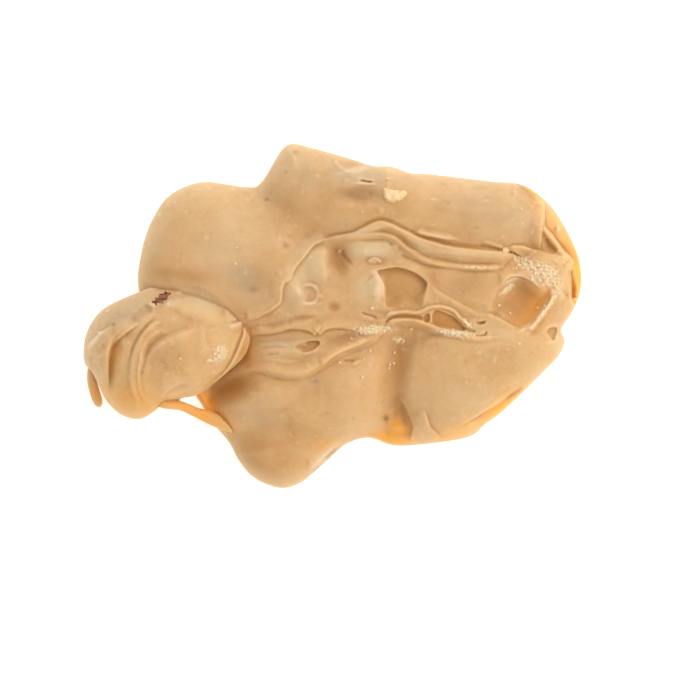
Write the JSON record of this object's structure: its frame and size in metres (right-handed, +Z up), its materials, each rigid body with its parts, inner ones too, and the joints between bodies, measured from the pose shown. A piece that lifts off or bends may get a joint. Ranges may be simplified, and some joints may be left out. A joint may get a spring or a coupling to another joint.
{
  "type": "pecan praline",
  "caption": "Free-form poured candy with soft lobes, folds and pits, a coated nut overhanging one corner and a bare bit of pecan in a pocket.",
  "frame": {"origin": "middle of the bounding box, on the table under the flat sole", "axes": "+X along the praline's longest side, from the coated nut to the far tip; +Y across it; +Z up from the sole to the folded top"},
  "size_m": [0.0994, 0.0688, 0.0185],
  "materials": {
    "candy": "satin set caramel-coloured sugar candy, slightly translucent at thin rims",
    "pecan": "dry wrinkled dark red-brown nut skin"
  },
  "bodies": {
    "root": {"candy": "candy", "pecan": "pecan"}
  },
  "joints": []
}
